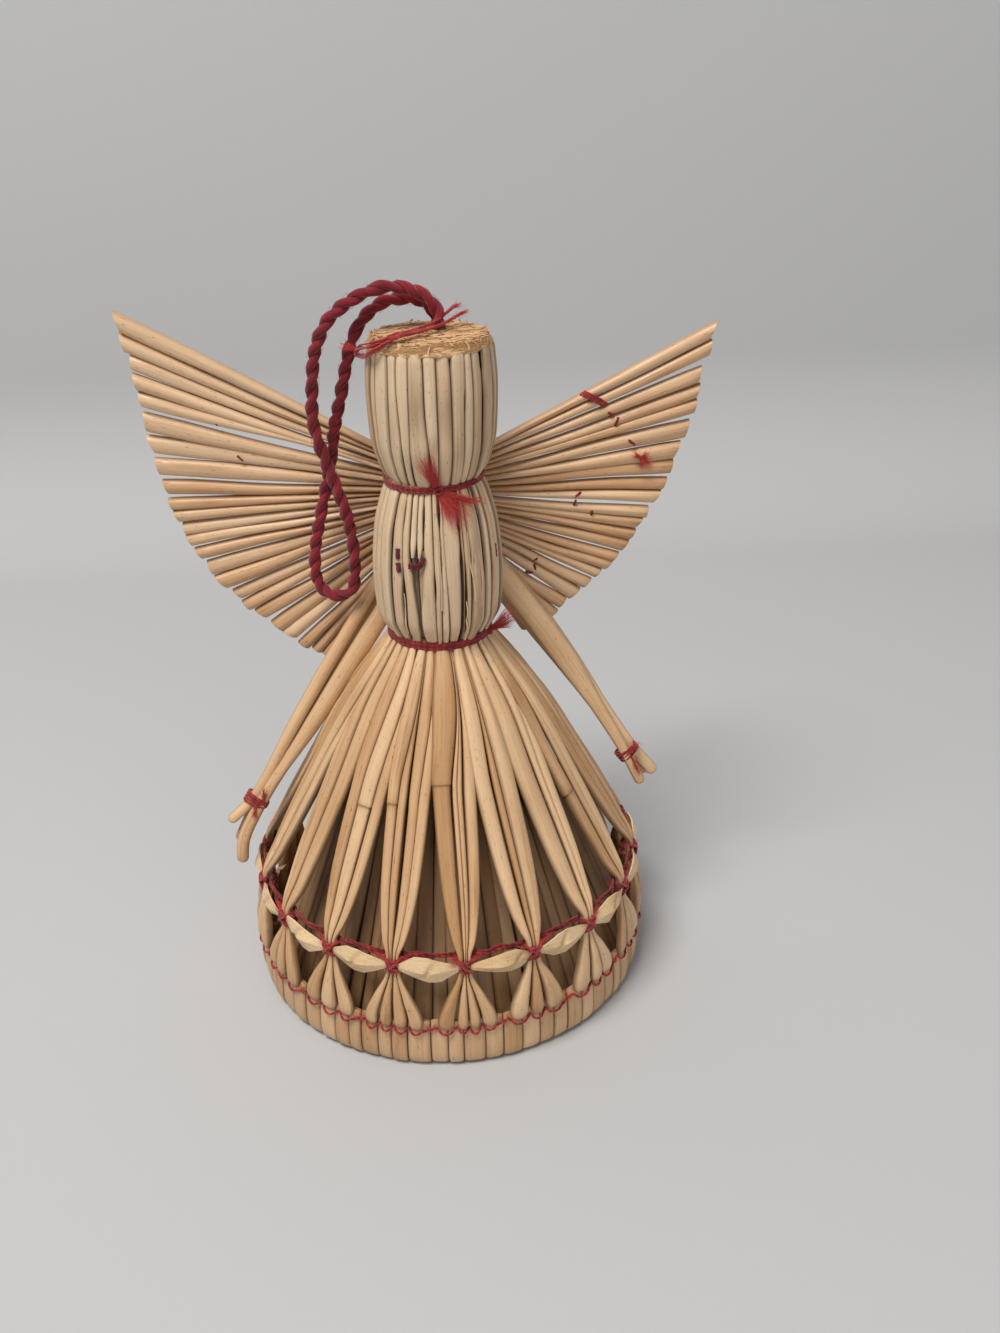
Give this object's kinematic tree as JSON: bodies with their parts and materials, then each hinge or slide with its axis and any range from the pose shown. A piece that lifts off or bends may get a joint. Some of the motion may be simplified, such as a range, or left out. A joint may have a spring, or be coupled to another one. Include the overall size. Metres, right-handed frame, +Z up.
{
  "type": "straw angel ornament",
  "caption": "Straw angel ornament: bell skirt of gathered straws with a woven band, bound torso and head, fanned straw wings, straw arms, red thread ties and a twisted hanging cord.",
  "frame": {"origin": "centre of the underside of the skirt's hem ring", "axes": "+Z up along the figure, -Y the way the figure faces, +X to the figure's left, which is the viewer's right"},
  "size_m": [0.1095, 0.0826, 0.1387],
  "materials": {
    "straw": "natural dried wheat straw, satin, golden tan with brown grain",
    "pale_straw": "natural dried wheat straw, satin, paler and greyer than the skirt",
    "wing_straw": "natural dried wheat straw, thin round stems, satin, warm tan",
    "band_straw": "flattened pale straw ribbon, glossy outer skin",
    "red_thread": "matte red cotton sewing thread, slightly fuzzy",
    "crimson_cord": "matte dark crimson cotton, twisted from two strands"
  },
  "bodies": {
    "root": {"straw_body": "pale_straw", "skirt_straws_01": "straw", "skirt_straws_02": "straw", "skirt_straws_03": "straw", "skirt_straws_04": "straw", "skirt_straws_05": "straw", "skirt_straws_06": "straw", "skirt_straws_07": "straw", "skirt_straws_08": "straw", "skirt_straws_09": "straw", "skirt_straws_10": "straw", "skirt_straws_11": "straw", "skirt_straws_12": "straw", "skirt_straws_13": "straw", "skirt_straws_14": "straw", "skirt_straws_15": "straw", "skirt_straws_16": "straw", "skirt_straws_17": "straw", "skirt_straws_18": "straw", "woven_band": "band_straw", "gather_thread": "red_thread", "hem_thread": "red_thread", "waist_tie": "red_thread", "neck_tie": "red_thread", "wing_left": "wing_straw", "wing_right": "wing_straw", "wing_tie": "red_thread", "arm_left": "straw", "arm_right": "straw", "wrist_tie_left": "red_thread", "wrist_tie_right": "red_thread", "crown_thread": "red_thread", "hanging_cord": "crimson_cord"}
  },
  "joints": []
}
